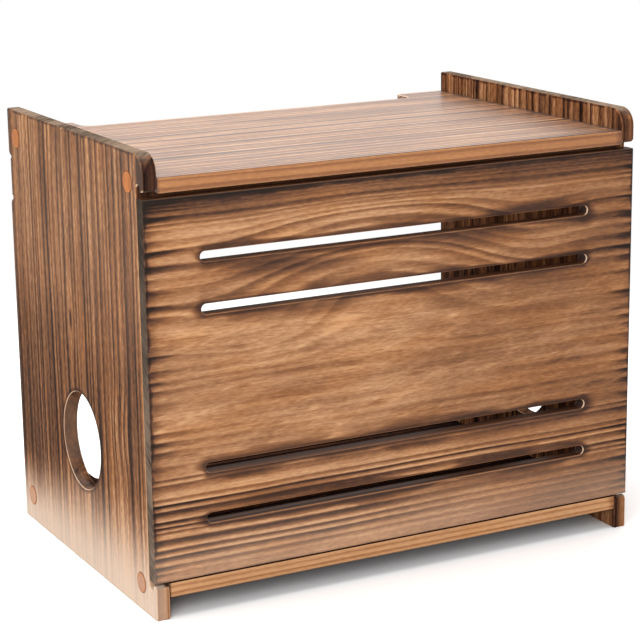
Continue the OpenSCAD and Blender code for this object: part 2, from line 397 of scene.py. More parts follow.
@shared_group("Scorched Edges")
def scorched_edges(name):
    """Char that creeps in from a board's ends and flanks, ragged along the edge."""
    tree, bench, given = shader_group(
        name,
        {"Vector": ZERO, "Low": ZERO, "High": ZERO, "Low Reach": ZERO, "High Reach": ZERO, "Seed": 0.0},
        ("Char",))
    least, most = 0.35, 1.8
    ragged = bench.noise(given["Vector"], (26.0, 8.0, 14.0), given["Seed"], detail=3.0)
    rag = bench.ease(ragged, 0.28, 0.72, least, most)
    from_low = bench.split(bench.vector("SUBTRACT", given["Vector"], given["Low"]))
    from_high = bench.split(bench.vector("SUBTRACT", given["High"], given["Vector"]))
    low_reach, high_reach = bench.split(given["Low Reach"]), bench.split(given["High Reach"])

    def creep(distance, reach):
        return bench.ease(distance, 0.0, bench.math("MULTIPLY", reach, rag), 1.0, 0.0)

    char = bench.largest(creep(from_low[0], low_reach[0]), creep(from_high[0], high_reach[0]),
                         creep(from_low[1], low_reach[1]), creep(from_high[1], high_reach[1]))
    bench.add("NodeGroupOutput", {"Char": char})
    return tree


@shared_group("Grain Swirl")
def grain_swirl(name):
    """A rise of the growth lines around one place, or their parting around it, fading out at its span."""
    tree, bench, given = shader_group(
        name, {"Vector": ZERO, "Centre": ZERO, "Span": (100.0, 40.0, 100.0), "Rise": 10.0}, ("Lift", "Part"))
    parting = 0.35
    away = bench.vector("DIVIDE", bench.vector("SUBTRACT", given["Vector"], given["Centre"]), given["Span"])
    lift = bench.math("MULTIPLY", bench.ease(bench.length(away), 0.0, 1.0, 1.0, 0.0), given["Rise"])
    side = bench.ease(bench.split(away)[1], -parting, parting, -1.0, 1.0)
    bench.add("NodeGroupOutput", {"Lift": lift, "Part": bench.math("MULTIPLY", lift, side)})
    return tree


@shared_group("Board Faces")
def board_faces(name):
    """Which spots of a board are sawn ends, narrow faces along the grain and eased edges, as shares of 1.

    Back Rim and Up Rim are the edges that face back along the grain, inside an opening, and up across it.
    """
    tree, bench, given = shader_group(
        name, {"Vector": ZERO, "Facing": ZERO, "Low": ZERO, "High": ZERO},
        ("Sawn", "Narrow", "Eased", "Back Rim", "Up Rim"))
    # Cosines from which a spot starts to count as such a face, and at which it counts in full
    sawn, narrow = (0.75, 0.95), (0.60, 0.90)
    leaves_side, meets_face = (0.12, 0.40), (0.80, 0.97)
    back, up = (-0.25, -0.70), (0.25, 0.60)
    # Millimetres from a board's end past which a face across the grain is the wall of an opening
    opening_start = (13.0, 16.0)
    facing = bench.split(given["Facing"])
    along, across, through = (bench.size(part) for part in facing)
    place, low, high = (bench.split(given[label])[0] for label in ("Vector", "Low", "High"))
    from_end = bench.math("MINIMUM", bench.minus(place, low), bench.minus(high, place))
    inland = bench.ease(from_end, *opening_start)
    eased = bench.product(bench.ease(through, *leaves_side), bench.ease(through, *meets_face, 1.0, 0.0))
    bench.add("NodeGroupOutput", {
        "Sawn": bench.product(bench.ease(along, *sawn), bench.rest(inland)),
        "Narrow": bench.ease(across, *narrow),
        "Eased": eased,
        "Back Rim": bench.product(eased, bench.ease(facing[0], *back), inland),
        "Up Rim": bench.product(eased, bench.ease(facing[1], *up))})
    return tree


@shared_group("Saw Marks")
def saw_marks(name):
    """Slanting marks that a saw leaves across the end of a board."""
    tree, bench, given = shader_group(name, {"Vector": ZERO, "Seed": 0.0}, ("Marks",))
    slant = 0.8
    along, across, through = bench.split(given["Vector"])
    place = bench.joined(along, bench.math("MULTIPLY_ADD", through, slant, across), through)
    bench.add("NodeGroupOutput", {"Marks": bench.noise(place, (30.0, 2.4, 16.0), given["Seed"], detail=3.0)})
    return tree


@shared_group("Turning Marks")
def turning_marks(name):
    """Faint marks that a tool leaves on metal."""
    tree, bench, given = shader_group(name, {"Vector": ZERO, "Sizes": (1.0, 1.0, 1.0)}, ("Marks",))
    spread = bench.vector("DIVIDE", given["Vector"], given["Sizes"])
    bench.add("NodeGroupOutput", {"Marks": bench.noise(spread, (1.0, 1.0, 1.0), 5.0, detail=3.0)})
    return tree


class Board:
    """The place of one board in its own grain directions, in millimetres."""

    def __init__(self, node, turn):
        turned = [self.laid(corner, turn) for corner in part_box(node)]
        self.turn = turn
        self.low = tuple(min(pair) * MM for pair in zip(*turned))
        self.high = tuple(max(pair) * MM for pair in zip(*turned))

    @staticmethod
    def laid(point, turn):
        """A point of the frame in the board's own grain directions."""
        for angle, axis in zip(turn, "XYZ"):
            point = Matrix.Rotation(angle, 3, axis) @ point
        return point


@dataclass
class Figure:
    """Where a board's wood departs from the plain pattern; each part is a number or a socket."""

    # Tone between the dark lines, and depth of the lines
    body: object
    force: object
    # How far the lines bend and how they close up
    lift: object = 0.0
    crowd: object = 0.0
    # Char, added tone, share of cream painted as sheen and floor reflection, and strength of the long bands
    burn: object = 0.0
    light: object = 0.0
    painted_sheen: object = 0.0
    bands: object = 0.12
    # Tone, plainness, cream and orange of the narrow faces along the grain
    flank: object = 0.6
    bare: object = 0.6
    flank_cream: object = 0.0
    flank_warm: object = 0.0
    # Tone on eased edges, partly wear and partly painted highlight; painted cream on them; painted highlight
    # on those facing up
    rim: object = 0.08
    rim_highlight: object = 0.0
    lip: object = 0.0
    # Brightness of the sawn ends, strength of the fine streaks, and thinness of the lines
    sawn: object = 1.0
    grit: object = 1.0
    pinch: object = 1.0


def new_material(name):
    """Empty node material with its bench."""
    material = bpy.data.materials.new(name)
    material.use_nodes = True
    material.node_tree.nodes.clear()
    return material, NodeBench(material.node_tree)


def finish_material(bench, shader):
    """Wires a shader to the material's output."""
    output = bench.add("ShaderNodeOutputMaterial")
    bench.feed(output.inputs["Surface"], shader.outputs[0])


def opaque(colour, share=1.0):
    """A colour, or a share of its brightness, with full alpha."""
    return (*(part * share for part in colour), 1.0)


# How far the streaks, thin lines and speckle, the bands, the clouds and the flecks sway the wood's tone
STREAK_SWAY = {"Streak": 0.26, "Lines": 0.24, "Fine": 0.32}
BAND_SWAY, CLOUD_SWAY, FLECK_TONE = 2.0, 0.36, -0.07
# Least share of a growth line's depth, and what a glint, a painted highlight on rims facing the light, adds
# to tone and cream
FAINTEST_LINE, GLINT_TONE, GLINT_CREAM = 0.40, 0.3, 0.5
# Char left on narrow faces, on eased edges and on glints, and how far full char darkens the wood
NARROW_CHAR, EASED_CHAR, GLINT_CHAR, CHAR_DEPTH = 0.3, 0.5, 0.1, 0.80
# Tones at which the wood has its char, dark, brown, toast, gold and pale colours
TONE_PLACES = (0.10, 0.30, 0.45, 0.58, 0.70, 0.84)
# Filter of the wood that the torch turned to orange, and its greatest share in the patches
WARM, MOST_WARM = (1.0, 0.82, 0.55, 1.0), 0.41
# Cover of the grey on sawn ends, and brightness of their deepest marks
SAWN_COVER, SAWN_DARK = 0.85, 0.22
# Roughness of plain wood, and what speckle, char and sawn ends add to it
ROUGH, SPECKLE_ROUGH, CHAR_ROUGH, SAWN_ROUGH = 0.3, 0.16, 0.10, 0.20


def wood_tone(bench, look, faces, fibre, lines, glint):
    """Tone of the wood, from 0 for burnt to 1 for pale, before the torch's char lies over it."""
    streaks = bench.total(*(bench.swing(fibre[kind], amount) for kind, amount in STREAK_SWAY.items()))
    bands, clouds = bench.swing(fibre["Bands"], BAND_SWAY), bench.swing(fibre["Cloud"], CLOUD_SWAY)
    detail = bench.weighed(look.light, (bands, look.bands), (streaks, look.grit), (clouds, 1.0),
                           (fibre["Flecks"], FLECK_TONE), (bench.product(lines, look.force), -1.0))
    kept = bench.blend(faces["Narrow"], 1.0, bench.rest(look.bare))
    body = bench.blend(faces["Narrow"], look.body, look.flank)
    return bench.weighed(body, (detail, kept), (faces["Eased"], look.rim), (glint, GLINT_TONE))


def wood_colour(bench, palette, value):
    """Colour of each tone of the wood."""
    ramp = bench.add("ShaderNodeValToRGB", {"Fac": value})
    colours = (palette.char, palette.dark, palette.brown, palette.toast, palette.gold, palette.pale)
    elements = ramp.color_ramp.elements
    while len(elements) < len(colours):
        elements.new(0.5)
    for element, place, colour in zip(elements, TONE_PLACES, colours):
        element.position = place
        element.color = opaque(colour)
    return ramp.outputs[0]


def sawn_colour(bench, palette, look, marks, fibre):
    """Grey of the sawn ends, darker in the saw's marks."""
    worn = bench.ease(bench.total(marks, bench.swing(fibre["Cloud"], 1.2)), 0.20, 0.74)
    grey = bench.tint(worn, opaque(palette.end_grain, SAWN_DARK), opaque(palette.end_grain))
    return bench.scaled(grey, look.sawn)


def torched_wood(name, board, palette, figure, spacing, slant, wander, seed, low_reach, high_reach,
                 gloss=0.3, coat=0.0):
    """Torched and brushed wood: growth rings, fibre, scorched edges, grey sawn ends, and a coat if given."""
    material, bench = new_material(name)
    coordinates = bench.add("ShaderNodeTexCoord").outputs
    laid = bench.laid(coordinates["Object"], board.turn)
    feeds = {"Vector": coordinates["Normal"], "Rotation": board.turn}
    facing = bench.add("ShaderNodeMapping", feeds).outputs[0]
    faces = bench.group(board_faces(), Vector=laid, Facing=facing, Low=board.low, High=board.high)
    look = figure(bench, laid, board)
    # A glint is a painted highlight on eased rims that face back along the grain inside an opening, and on
    # those facing up
    glint = bench.largest(faces["Back Rim"], bench.product(faces["Up Rim"], look.lip))
    char = bench.group(scorched_edges(), Vector=laid, Low=board.low, High=board.high,
                       Low_Reach=low_reach, High_Reach=high_reach, Seed=seed)["Char"]
    rings = bench.group(growth_rings(), Vector=laid, Spacing=spacing, Slant=slant, Wander=wander,
                        Lift=look.lift, Crowd=look.crowd, Seed=seed)
    fibre = bench.group(wood_fibre(), Vector=laid, Seed=seed)
    marks = bench.group(saw_marks(), Vector=laid, Seed=seed)["Marks"]

    lines = bench.product(bench.math("POWER", rings["Rings"], look.pinch),
                          bench.ease(rings["Depth"], 0.0, 1.0, FAINTEST_LINE, 1.0))
    burn = bench.product(bench.largest(char, look.burn), bench.blend(faces["Narrow"], 1.0, NARROW_CHAR),
                         bench.blend(glint, bench.blend(faces["Eased"], 1.0, EASED_CHAR), GLINT_CHAR))
    value = bench.product(wood_tone(bench, look, faces, fibre, lines, glint),
                          bench.math("MULTIPLY_ADD", burn, -CHAR_DEPTH, 1.0))
    hue = bench.largest(bench.product(fibre["Warmth"], MOST_WARM),
                        bench.product(faces["Narrow"], look.flank_warm))
    warm = bench.tint(hue, wood_colour(bench, palette, value), WARM, "MULTIPLY")
    # Cream laid over the wood: painted sheen, floor reflection and highlights, and the narrow faces' own
    # cream
    painted_sheen = bench.largest(bench.blend(faces["Narrow"], look.painted_sheen, look.flank_cream),
                           bench.product(glint, GLINT_CREAM), bench.product(faces["Eased"], look.rim_highlight))
    wood = bench.tint(painted_sheen, warm, opaque(palette.cream))
    grey = sawn_colour(bench, palette, look, marks, fibre)
    colour = bench.tint(bench.product(faces["Sawn"], SAWN_COVER), wood, grey)
    rough = bench.weighed(ROUGH, (fibre["Fine"], SPECKLE_ROUGH), (burn, CHAR_ROUGH),
                          (faces["Sawn"], SAWN_ROUGH))
    relief = bench.weighed(lines, (fibre["Fine"], 0.35), (fibre["Lines"], 0.5))
    shader = bench.add("ShaderNodeBsdfPrincipled", {
        "Base Color": colour, "Roughness": rough, "Normal": bench.bump(relief, 0.5, distance=0.00025),
        "IOR": 1.48, "Specular IOR Level": gloss, "Coat Weight": coat, "Coat Roughness": 0.25})
    finish_material(bench, shader)
    return material


def swirls(bench, laid, places, output="Lift"):
    """Sum of several swirls of the grain, each given as its centre, its half span and its rise."""
    return bench.total(*(bench.group(grain_swirl(), Vector=laid, Centre=(*centre, 0.0), Span=(*span, FAR),
                                     Rise=rise)[output] for centre, span, rise in places))


# Heights on the front panel, in millimetres, over which its wood changes
LOWER_LINES, CALM_WOOD, DARK_SEAM = (34.0, 94.0), (102.0, 184.0), (76.0, 90.0)
UPPER_START, TOP_START, CLOSE_START = (180.0, 200.0), (247.0, 267.0), (244.0, 270.0)
# FLOOR_SHEEN: heights over which cream is painted low on the panel as the floor's reflection
FLOOR_SHEEN, SAWN_SHADE = (62.0, 26.0), (262.0, 60.0)
# Places along the panel and heights over which the bold lines thin out to the right and fade below the slots
BOLD_RUN, FADE_RUN, FADE_HEIGHT = (-20.0, 110.0), (-60.0, 60.0), (62.0, 48.0)
# Greatest depth of the panel's lines, and the run over which its burnt top darkens to the left
MOST_FORCE, CORNER_RUN = 0.74, (-40.0, -150.0)
# How far the dark comb at the panel's left end creeps in, and the right end's share of that
COMB_REACH, RIGHT_COMB = (6.0, 52.0), 0.6
# Arches of the panel's lines: centre and half span along and across, and rise, in millimetres
PANEL_ARCHES = (
    ((-20.0, 206.0), (135.0, 66.0), 30.0), ((-98.0, 182.0), (80.0, 30.0), -11.0),
    ((-24.0, 248.0), (150.0, 26.0), 5.0), ((95.0, 222.0), (70.0, 40.0), -6.0))
# Smoky places on the panel: centre and half span along and across, in millimetres, and depth of char
PANEL_SMOKE = (
    ((-96.0, 221.0), (52.0, 12.0), 0.6), ((-50.0, 216.0), (40.0, 9.0), 0.35),
    ((58.0, 221.0), (62.0, 11.0), 0.5), ((-90.0, 69.0), (95.0, 12.0), 0.5),
    ((70.0, 88.0), (95.0, 10.0), 0.25), ((-62.0, 189.0), (60.0, 8.0), 0.45),
    ((110.0, 190.0), (50.0, 9.0), 0.4), ((60.0, 55.0), (80.0, 8.0), 0.3))


def panel_light(bench, laid, from_left, from_right, comb):
    """Slanting gleams and soft smudges in the panel's calm middle, and a shade towards both ends."""
    along, across, _ = bench.split(laid)
    slant, shade_width, edge_width = -0.22, 210.0, 9.0
    slanting = bench.joined(along, bench.math("MULTIPLY_ADD", along, slant, across))
    gleams = bench.ease(bench.noise(slanting, (30.0, 5.0, 5.0), 61.0), 0.50, 0.74)
    smudges = bench.ease(bench.noise(laid, (34.0, 6.0, 8.0), 63.0), 0.58, 0.72)
    marks = bench.weighed(0.0, (gleams, 0.09), (smudges, -0.10))
    right_shade = bench.ease(from_right, 0.0, shade_width, -0.12, 0.0)
    left_edge = bench.ease(from_left, 0.0, edge_width, -0.16, 0.0)
    return bench.weighed(right_shade, (bench.between(across, *CALM_WOOD, 8.0), marks),
                         (bench.product(left_edge, comb), 0.03))


def panel_figure(bench, laid, board):
    """Front panel: arches between the upper slots, a calm middle, bold straight lines below, burnt slots."""
    along, across, _ = bench.split(laid)
    from_left, from_right = bench.minus(along, board.low[0]), bench.minus(board.high[0], along)
    fading = bench.product(bench.ease(along, *FADE_RUN), bench.ease(across, *FADE_HEIGHT))
    lower = bench.product(bench.between(across, *LOWER_LINES, 5.0),
                          bench.math("MULTIPLY_ADD", fading, -0.8, 1.0))
    bold = bench.product(lower, bench.ease(along, *BOLD_RUN, 0.51, 0.37))
    upper, top = bench.ease(across, *UPPER_START), bench.ease(across, *TOP_START)
    seam = bench.between(across, *DARK_SEAM, 5.0)
    comb = bench.ease(bench.noise(laid, (90.0, 7.0, 9.0), 71.0), 0.32, 0.70, *COMB_REACH)
    ends = bench.largest(bench.ease(from_left, 0.0, comb, 1.0, 0.0),
                         bench.ease(from_right, 0.0, bench.product(comb, RIGHT_COMB), 1.0, 0.0))
    force = bench.weighed(0.10, (bold, 1.0), (upper, 0.17), (top, -0.14), (ends, 0.40))
    corner = bench.product(top, bench.ease(along, *CORNER_RUN, 0.30, 0.48))
    body = bench.weighed(0.705, (lower, 0.10), (upper, 0.04), (corner, -1.0), (seam, -0.04))
    crowd = bench.weighed(bench.ease(across, *CLOSE_START, 0.0, 3.0),
                          (bench.math("MINIMUM", across, LOWER_LINES[1]), 0.07))
    return Figure(body, bench.math("MINIMUM", force, MOST_FORCE), crowd=crowd,
                  lift=swirls(bench, laid, PANEL_ARCHES),
                  light=panel_light(bench, laid, from_left, from_right, comb),
                  burn=bench.largest(slot_char(bench, laid), swirls(bench, laid, PANEL_SMOKE)),
                  # The panel's painted_sheen is the floor's reflection painted low on the panel
                  painted_sheen=bench.ease(across, *FLOOR_SHEEN, 0.015, 0.16), flank=0.55, bare=0.4, rim=0.05, lip=0.1,
                  sawn=bench.ease(across, *SAWN_SHADE, 0.35, 1.1))


# Knot of the side boards, its dark core, and the bends near it: centre, half span and rise, in millimetres
KNOT = ((168.0, 11.0), (46.0, 15.0), 5.0)
KNOT_CORE = (KNOT[0], (12.0, 3.4), 1.0)
SIDE_BENDS = (((112.0, -70.0), (40.0, 26.0), 6.0), ((232.0, 40.0), (90.0, 30.0), 4.0))
# Tone of a cable hole's wall, and depth of the lines on it
WALL_TONE, WALL_FORCE = 0.38, 0.1
# Places through the right board over which its narrow faces grow paler outwards, at the foot and at the ear
RIGHT_FOOT, RIGHT_EAR = (-171.0, -178.0), (-173.0, -176.0)
# Tones of dark narrow faces, of the right foot and ear at their outer edges, and of the left foot
DARK_FLANK, RIGHT_FOOT_TONE, RIGHT_EAR_TONE, LEFT_FOOT_TONE = 0.42, 0.90, 0.70, 0.97
# Thin shade on the narrow faces: distances from their middle line, softness and depth
FLANK_SHADE, FLANK_SOFT, FLANK_DEPTH = (2.7, 3.9), 0.7, -0.15
# Places across the grain, and heights, over which the burnt front of the ear sets in
EAR_FRONT, EAR_TOP = (-104.0, -117.0), (255.0, 272.0)
# Place across the grain past which the lines close up, how fast they do, and heights over which a painted
# sheen grows on the outer face
CLOSE_FROM, CLOSE_RATE, UPPER_SHEEN = 66.0, 0.11, (130.0, 220.0)


class SideZones:
    """Places on a side board where its wood changes, as shares of 1; lengths are in millimetres."""

    # Heights over which the wall of the tray, the ear, the foot and the darker lower wood set in
    TRAY, EAR, FOOT, SUNK = (262.0, 276.0), (240.0, 268.0), (40.0, 8.0), (200.0, 105.0)
    # Places across the grain, back to front: rear, bolder cluster, fading of the darker wood, and front
    REAR, CLUSTER, SUNK_END, FRONT = (92.0, 118.0), (6.0, 40.0), (-10.0, -75.0), (-40.0, -90.0)
    # Distances from the cable hole's radius over which its wall and its burnt ring end
    WALL_END, RING_END = (0.2, 0.6), (0.8, 3.6)
    # Distances from the middle of the box over which the inner face gives way to the outer one
    OUTER = (170.0, 174.0)
    # Pale lower wood, a painted reflection of the white floor: places across the grain over which its reach
    # grows, that reach, and its fingers' length
    PALE_RUN, PALE_REACH, FINGERS = (112.0, -30.0), (62.0, 88.0), 46.0
    # Height at which that painted reflection is palest, and how much of it the right board shows
    PALEST, RIGHT_PALE = 4.0, 0.4

    def __init__(self, bench, laid):
        along, across, through = bench.split(laid)
        self.along, self.across, self.through = along, across, through
        from_hole = bench.vector("SUBTRACT", laid, (MM * HOLE_PLACE[2], MM * HOLE_PLACE[1], 0.0))
        from_axis = bench.length(bench.vector("MULTIPLY", from_hole, (1.0, 1.0, 0.0)))
        from_wall = bench.minus(from_axis, HOLE_RADIUS)
        self.hole_wall = bench.ease(from_wall, *self.WALL_END, 1.0, 0.0)
        self.hole_rim = bench.ease(from_wall, *self.RING_END, 0.5, 0.0)
        self.depth = bench.size(through)
        self.outer = bench.ease(self.depth, *self.OUTER)
        self.inside = bench.rest(self.outer)
        self.left = bench.ease(through, 0.0, 1.0)
        self.rear, self.front = (bench.ease(across, *places) for places in (self.REAR, self.FRONT))
        self.cluster = bench.between(across, *self.CLUSTER, 8.0)
        self.tray, self.ear, self.foot = (
            bench.ease(along, *heights) for heights in (self.TRAY, self.EAR, self.FOOT))
        self.sunk = bench.product(bench.ease(along, *self.SUNK),
                                  bench.ease(across, *self.SUNK_END, 1.0, 0.15))
        # low and pale mark the pale lower wood, a painted reflection of the white floor, weaker on the right
        # board
        fingers = bench.swing(bench.noise(laid, (600.0, 7.0, 12.0), 81.0), self.FINGERS)
        reach = bench.total(bench.ease(across, *self.PALE_RUN, *self.PALE_REACH), fingers)
        self.low = bench.product(bench.ease(along, reach, self.PALEST), self.outer)
        self.pale = bench.product(self.low, bench.blend(self.left, self.RIGHT_PALE, 1.0))


def side_flank(bench, zones, board):
    """Tone of a side board's narrow faces: dark ears, a pale left foot, and a thin shade beside each edge."""
    right_foot = bench.ease(zones.through, *RIGHT_FOOT, DARK_FLANK, RIGHT_FOOT_TONE)
    right_ear = bench.ease(zones.through, *RIGHT_EAR, DARK_FLANK, RIGHT_EAR_TONE)
    flank = bench.blend(zones.ear, bench.blend(zones.left, right_foot, LEFT_FOOT_TONE), right_ear)
    middle = abs(board.low[2] + board.high[2]) / 2.0
    from_middle = bench.size(bench.minus(zones.depth, middle))
    return bench.weighed(flank, (bench.between(from_middle, *FLANK_SHADE, FLANK_SOFT), FLANK_DEPTH))


def side_burn(bench, laid, zones):
    """Char of a side board: the knot's core, the front of the ear and a ring around the cable hole."""
    core = bench.ease(bench.rest(swirls(bench, laid, (KNOT_CORE,))), 0.2, 1.0, 0.8, 0.0)
    ear_front = bench.product(bench.ease(zones.across, *EAR_FRONT, 0.0, 0.6),
                              bench.ease(zones.along, *EAR_TOP))
    return bench.largest(core, ear_front, bench.product(zones.hole_rim, bench.rest(zones.hole_wall)))


def side_figure(bench, laid, board):
    """Side board: close lines at the rear, bolder ones in front, a knot, dark ears, pale feet painted as the
    floor's reflection, and painted shade inside.
    """
    zones = SideZones(bench, laid)
    # The inner face below the top board is darker with fainter lines: painted shade inside the box, lifted
    # again at the foot
    force = bench.weighed(0.31, (zones.cluster, 0.14), (zones.rear, -0.04), (zones.sunk, 0.10),
                          (zones.pale, -0.10), (zones.inside, bench.blend(zones.tray, -0.18, 0.08)))
    face = bench.blend(zones.outer, bench.blend(zones.tray, -0.02, 0.12), 0.09)
    body = bench.weighed(0.49, (zones.pale, 0.31), (zones.rear, -0.06), (zones.cluster, 0.04),
                         (zones.sunk, -0.10), (zones.front, -0.05), (face, 1.0),
                         (bench.product(zones.foot, zones.inside), 0.24))
    lift = bench.total(swirls(bench, laid, (KNOT,), "Part"), swirls(bench, laid, SIDE_BENDS))
    crowd = bench.product(bench.largest(bench.minus(zones.across, CLOSE_FROM), 0.0), CLOSE_RATE)
    # A painted sheen over the outer face, stronger higher up
    upper_sheen = bench.product(zones.outer, bench.ease(zones.along, *UPPER_SHEEN, 0.03, 0.07))
    return Figure(bench.blend(zones.hole_wall, body, WALL_TONE),
                  bench.blend(zones.hole_wall, force, WALL_FORCE),
                  lift=lift, crowd=crowd, burn=side_burn(bench, laid, zones), bands=0.42,
                  # Cream painted as the floor's reflection on the lower wood, and as sheen higher up
                  painted_sheen=bench.total(bench.product(zones.pale, zones.pale, 0.76), upper_sheen),
                  flank=bench.blend(zones.hole_wall, side_flank(bench, zones, board), WALL_TONE), bare=0.5,
                  # Cream on the narrow faces: painted floor reflection at the left foot, and a fixed share on
                  # the cable hole's wall
                  flank_cream=bench.blend(zones.hole_wall, bench.product(zones.low, zones.left, 0.25), 0.10),
                  # Eased edges paler on the lower wood and at the cable hole's rim: painted floor reflection
                  # and painted highlight
                  rim=bench.weighed(0.08, (zones.low, 0.16), (zones.hole_rim, 0.5)),
                  rim_highlight=bench.weighed(0.0, (zones.low, 0.5), (zones.hole_rim, 0.6)),
                  sawn=1.3, grit=1.9, pinch=1.8)


def shelf_figure(body, painted_sheen, edge_tone, edge_warm):
    """Figure of a shelf board whose narrow faces have a tone and an orange of their own."""
    def figure(bench, laid, board):
        # Darker towards the right end of the board
        darkening_from, darkest = 100.0, -0.08
        right_darkening = bench.ease(bench.split(laid)[0], darkening_from, board.high[0], 0.0, darkest)
        return Figure(bench.total(body, right_darkening), 0.48, painted_sheen=painted_sheen, bands=0.34, flank=edge_tone, bare=0.65,
                      grit=1.6, pinch=1.6, flank_warm=edge_warm)
    return figure


def plain_figure(body, force):
    """Figure of a board with nothing but straight lines."""
    return lambda bench, laid, board: Figure(body, force, flank=body, bare=0.3)


# Half a vent slot's height, and the least and the most that its char reaches from its middle, in millimetres
SLOT_HALF, SLOT_REACH = 3.2, (4.6, 15.0)


def slot_char(bench, laid):
    """Burnt halo around the panel's vent slots, which lie in two like pairs above and below its middle."""
    openings = frame["record"]["physics"]["openings"]
    slots = sorted((box["box_m"] for box in openings if box["name"].startswith("vent_slot")),
                   key=lambda corners: -corners[0][2])
    heights = [MM * (low[2] + high[2]) / 2.0 for low, high in slots]
    slot_end = MM * slots[0][1][0]
    middle = sum(heights) / len(heights)
    pair = (heights[0] + heights[1]) / 2.0 - middle
    pitch = (heights[0] - heights[1]) / 2.0
    along, across, _ = bench.split(laid)
    from_middle = bench.size(bench.minus(across, middle))
    from_pair = bench.size(bench.minus(from_middle, pair))
    from_slot = bench.minus(from_pair, pitch)
    past_end = bench.largest(bench.minus(bench.size(along), slot_end), 0.0)
    distance = bench.length(bench.joined(past_end, from_slot))
    ragged = bench.noise(laid, (60.0, 9.0, 9.0), 3.0)
    return bench.ease(distance, SLOT_HALF, bench.ease(ragged, 0.3, 0.7, *SLOT_REACH), 0.72, 0.0)


# Brightness of the plugs' pale and deep grain, and of the painted shade at their rims, as shares of their own
# tone
PLUG_PALE, PLUG_DEEP, PLUG_EDGE_DARK = 1.25, 0.66, 0.264
# Heights in millimetres over which plugs grow paler, a painted floor reflection, and radii of the painted
# highlight ring and shaded rim as shares of a plug's width
PLUG_LOW, PLUG_HIGHLIGHT_RING, PLUG_RIM = (75.0, 10.0), (0.40, 0.45), (0.44, 0.49)


def plug_wood(palette):
    """Plain warm wood of the plugs: fine upright grain, a painted highlight ring inside a painted shaded rim,
    paler low down as a painted floor reflection.
    """
    material, bench = new_material("plug_wood")
    coordinates = bench.add("ShaderNodeTexCoord").outputs
    laid = bench.laid(coordinates["Object"], GRAIN_UPRIGHT)
    fibre = bench.group(wood_fibre(), Vector=laid, Seed=11.0)
    # burnt is the painted shade at the plug's raised edge
    pale, deep, burnt = (opaque(palette.plug, share) for share in (PLUG_PALE, PLUG_DEEP, PLUG_EDGE_DARK))
    value = bench.weighed(0.0, (fibre["Streak"], 0.6), (fibre["Fine"], 0.4))
    low = bench.ease(bench.split(laid)[0], *PLUG_LOW, 0.0, 0.3)
    spot = bench.vector("SUBTRACT", coordinates["Generated"], (0.5, 0.5, 0.5))
    from_axis = bench.length(bench.vector("MULTIPLY", spot, (0.0, 1.0, 1.0)))
    colour = bench.tint(bench.ease(value, 0.3, 0.7), deep, pale)
    # Paler low down: a painted reflection of the floor
    colour = bench.tint(low, colour, opaque(palette.cream))
    # A painted highlight ring, then painted shade at the raised edge
    colour = bench.tint(bench.between(from_axis, *PLUG_HIGHLIGHT_RING, 0.03), colour, pale)
    colour = bench.tint(bench.ease(from_axis, *PLUG_RIM, 0.0, 0.7), colour, burnt)
    finish_material(bench, bench.add("ShaderNodeBsdfPrincipled", {
        "Base Color": colour, "Roughness": bench.math("MULTIPLY_ADD", fibre["Fine"], 0.2, 0.38),
        "Normal": bench.bump(fibre["Fine"], strength=0.4, distance=0.0001), "Specular IOR Level": 0.1}))
    return material


def plated_metal(name, colour, grain):
    """Plated metal with faint turning marks of the given sizes in millimetres."""
    material, bench = new_material(name)
    dull_share = 0.7
    place = bench.scaled(bench.add("ShaderNodeTexCoord").outputs["Object"], MM)
    marks = bench.group(turning_marks(), Vector=place, Sizes=grain)["Marks"]
    finish_material(bench, bench.add("ShaderNodeBsdfPrincipled", {
        "Base Color": bench.tint(bench.ease(marks, 0.3, 0.7), opaque(colour, dull_share), opaque(colour)),
        "Roughness": bench.math("MULTIPLY_ADD", marks, 0.25, 0.2),
        "Normal": bench.bump(marks, strength=0.3, distance=0.00005), "Metallic": 1.0}))
    return material


def dress(names, material):
    """Gives a material to the frame's nodes."""
    for name in names:
        for slot in NODES[name].material_slots:
            slot.material = material


def finish_board(name, turn, figure, **wood):
    """Dresses one board in torched wood of its own."""
    palette = bpy.context.scene.router_box.palette
    dress([name], torched_wood(f"{name}_wood", Board(name, turn), palette, figure, **wood))


def fastener_collection():
    """Collection of all the fasteners, whose rims stay crisp."""
    name = "fasteners"
    if name not in bpy.data.collections:
        kept = bpy.data.collections.new(name)
        for fastener in FASTENERS:
            kept.objects.link(NODES[fastener])
    return bpy.data.collections[name]


# Roundover of the cable holes' rims, and of corners cut through a board, as shares of the board's own
HOLE_RIM, CORNER_RIM = 0.6, 0.35
# Turn between two faces from which their edge counts, and cosine from which an edge runs through a board
CREASE, THROUGH_COSINE = math.radians(30.0), 0.9


